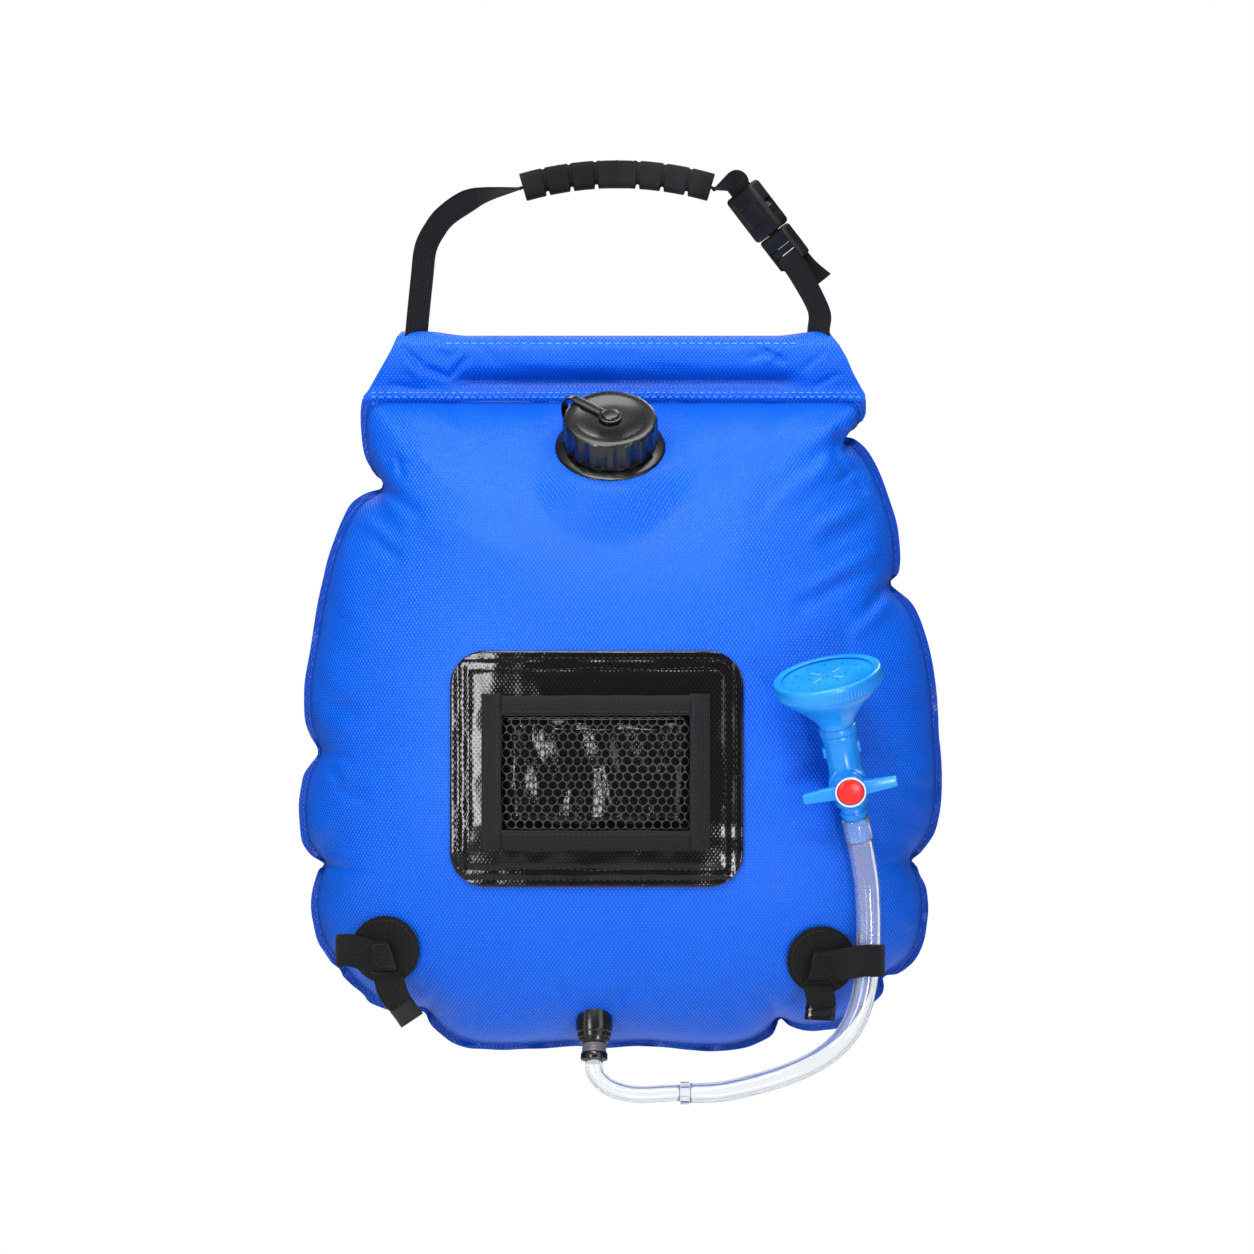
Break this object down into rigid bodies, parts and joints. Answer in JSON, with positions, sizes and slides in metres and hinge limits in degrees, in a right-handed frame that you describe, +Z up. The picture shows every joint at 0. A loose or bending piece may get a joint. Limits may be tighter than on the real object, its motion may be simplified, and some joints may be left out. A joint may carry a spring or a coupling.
{
  "type": "camp shower bag",
  "caption": "Hanging film water bag with webbing handle, screw filler cap, net pocket, bottom outlet, clear hose and shower head with a quarter turn valve.",
  "frame": {"origin": "middle of the flat underside of the grip's centre block, where a hook, branch or hand carries the bag", "axes": "+Z up, as the full bag hangs; +X to the right seen from the front; the bag's front, with its pocket and cap, faces -Y"},
  "size_m": [0.3852, 0.2237, 0.5645],
  "materials": {
    "blue_film": "woven embossed coated film, satin",
    "black_moulding": "satin moulded plastic",
    "black_webbing": "woven nylon webbing",
    "black_film": "glossy coated film",
    "black_net": "knitted net",
    "soft_rubber": "soft matt rubber",
    "grey_rubber": "matt sealing rubber",
    "light_blue_moulding": "satin moulded plastic",
    "red_moulding": "gloss moulded plastic",
    "clear_hose": "clear soft hose",
    "grey_moulding": "grey moulded plastic"
  },
  "bodies": {
    "bag": {"front_panel": "blue_film", "back_panel": "blue_film", "top_sleeve": "blue_film", "stiffener_rod": "grey_moulding", "filler_neck": "black_moulding", "outlet_spout": "black_moulding", "outlet_nipple": "grey_moulding", "hose_clamp": "black_moulding", "hose_lower": "clear_hose", "hose_upper": "clear_hose", "hose_coupler": "clear_hose", "valve_body": "light_blue_moulding", "head_funnel": "light_blue_moulding", "handle_webbing": "black_webbing", "grip": "soft_rubber", "buckle_female": "black_moulding", "buckle_male": "black_moulding", "lower_webbing": "black_webbing", "pocket_patch": "black_film", "pocket_lining": "black_film", "pocket_net": "black_net", "tape_left": "black_webbing", "tape_right": "black_webbing", "tape_bottom": "black_webbing", "tape_top": "black_webbing", "disc_left": "black_webbing", "disc_right": "black_webbing", "loop_left": "black_webbing", "loop_right": "black_webbing", "tail_left": "black_webbing", "tail_right": "black_webbing"},
    "cap_keeper": {"cap_tether": "black_moulding"},
    "cap": {"filler_cap": "black_moulding", "cap_gasket": "grey_rubber"},
    "lever": {"valve_lever": "light_blue_moulding", "lever_badge": "red_moulding", "plug_seal": "soft_rubber"},
    "rose_plate": {"spray_plate": "light_blue_moulding", "rose_gasket": "grey_rubber"},
    "rose": {"rose_ring": "light_blue_moulding"},
    "tab_left": {"buckle_tab_left": "black_moulding"},
    "tab_right": {"buckle_tab_right": "black_moulding"}
  },
  "joints": [
    {"name": "cap_rise", "type": "slide", "parent": "bag", "child": "cap_keeper", "axis": [0, -0.6157, 0.788], "range_m": [0, 0.01405]},
    {"name": "cap_turn", "type": "hinge", "parent": "cap_keeper", "child": "cap", "pos_m": [-0.0064, -0.04726, -0.1566], "axis": [0, -0.6157, 0.788], "range_deg": [0, 1260]},
    {"name": "valve_turn", "type": "hinge", "parent": "bag", "child": "lever", "pos_m": [0.13455, -0.08995, -0.35435], "axis": [0.0625, -0.9484, -0.3108], "range_deg": [0, 90]},
    {"name": "rose_rise", "type": "slide", "parent": "bag", "child": "rose_plate", "axis": [-0.187, -0.317, 0.9298], "range_m": [0, 0.0038]},
    {"name": "rose_turn", "type": "hinge", "parent": "rose_plate", "child": "rose", "pos_m": [0.14154, -0.07809, -0.38912], "axis": [-0.187, -0.317, 0.9298], "range_deg": [0, 450]},
    {"name": "tab_left_press", "type": "hinge", "parent": "bag", "child": "tab_left", "pos_m": [0.08665, 0.00669, -0.03028], "axis": [0.5904, 0.6691, 0.4514], "range_deg": [0, 8], "stiffness_Nm_per_rad": 0.05},
    {"name": "tab_right_press", "type": "hinge", "parent": "bag", "child": "tab_right", "pos_m": [0.09622, -0.00669, -0.02296], "axis": [-0.5904, -0.6691, -0.4514], "range_deg": [0, 8], "stiffness_Nm_per_rad": 0.05}
  ],
  "couplings": [
    {"joint": "cap_rise", "follows": "cap_turn", "m_per_rad": 0.00063662},
    {"joint": "rose_rise", "follows": "rose_turn", "m_per_rad": 0.00047746},
    {"joint": "tab_right_press", "follows": "tab_left_press", "ratio": 1}
  ]
}
